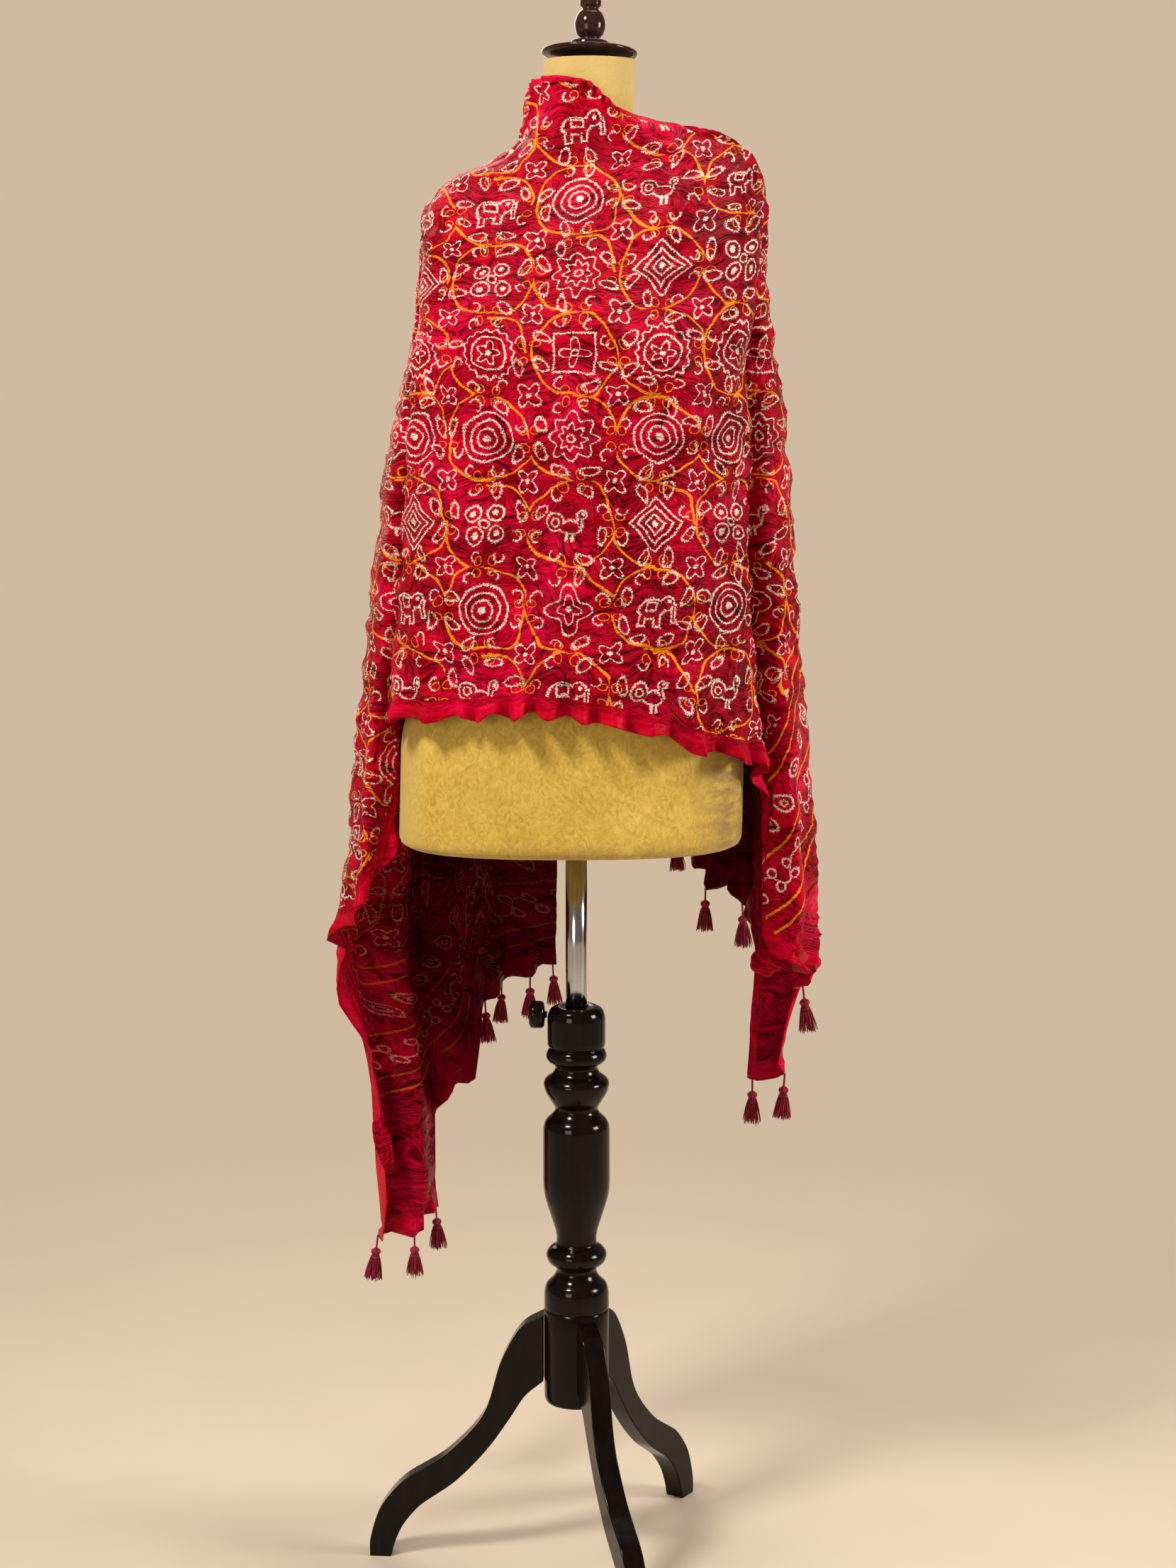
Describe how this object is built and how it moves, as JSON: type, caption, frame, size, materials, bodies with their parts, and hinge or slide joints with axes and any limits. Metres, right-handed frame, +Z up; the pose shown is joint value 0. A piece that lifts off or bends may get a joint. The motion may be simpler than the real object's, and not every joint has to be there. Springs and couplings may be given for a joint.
{
  "type": "bandhani shawl on a dress form stand",
  "caption": "Tie-dyed red crinkled shawl with a gathered hem and tassels, draped over a padded dress form on a turned tripod stand.",
  "frame": {"origin": "middle of the whole object's box, at the floor under the feet", "axes": "+Z up, +X to the viewer's right, -Y towards the viewer, who sees the form's front"},
  "size_m": [0.5054, 0.4076, 1.7059],
  "materials": {
    "bandhani_cloth": "satin crinkled cloth, tie-dyed with white and orange dotted lines",
    "tassel_thread": "soft twisted thread",
    "form_velvet": "worn mustard velvet",
    "stand_lacquer": "gloss dark lacquer",
    "pole_steel": "polished tube"
  },
  "bodies": {
    "root": {"shawl": "bandhani_cloth", "tassel_01": "tassel_thread", "tassel_02": "tassel_thread", "tassel_03": "tassel_thread", "tassel_04": "tassel_thread", "tassel_05": "tassel_thread", "tassel_06": "tassel_thread", "tassel_07": "tassel_thread", "tassel_08": "tassel_thread", "tassel_09": "tassel_thread", "tassel_10": "tassel_thread", "tassel_11": "tassel_thread", "tassel_12": "tassel_thread", "tassel_13": "tassel_thread", "torso": "form_velvet", "neck_cap": "stand_lacquer", "finial": "stand_lacquer", "column": "stand_lacquer", "clamp_knob": "stand_lacquer", "leg_1": "stand_lacquer", "leg_2": "stand_lacquer", "leg_3": "stand_lacquer", "pole": "pole_steel"}
  },
  "joints": []
}
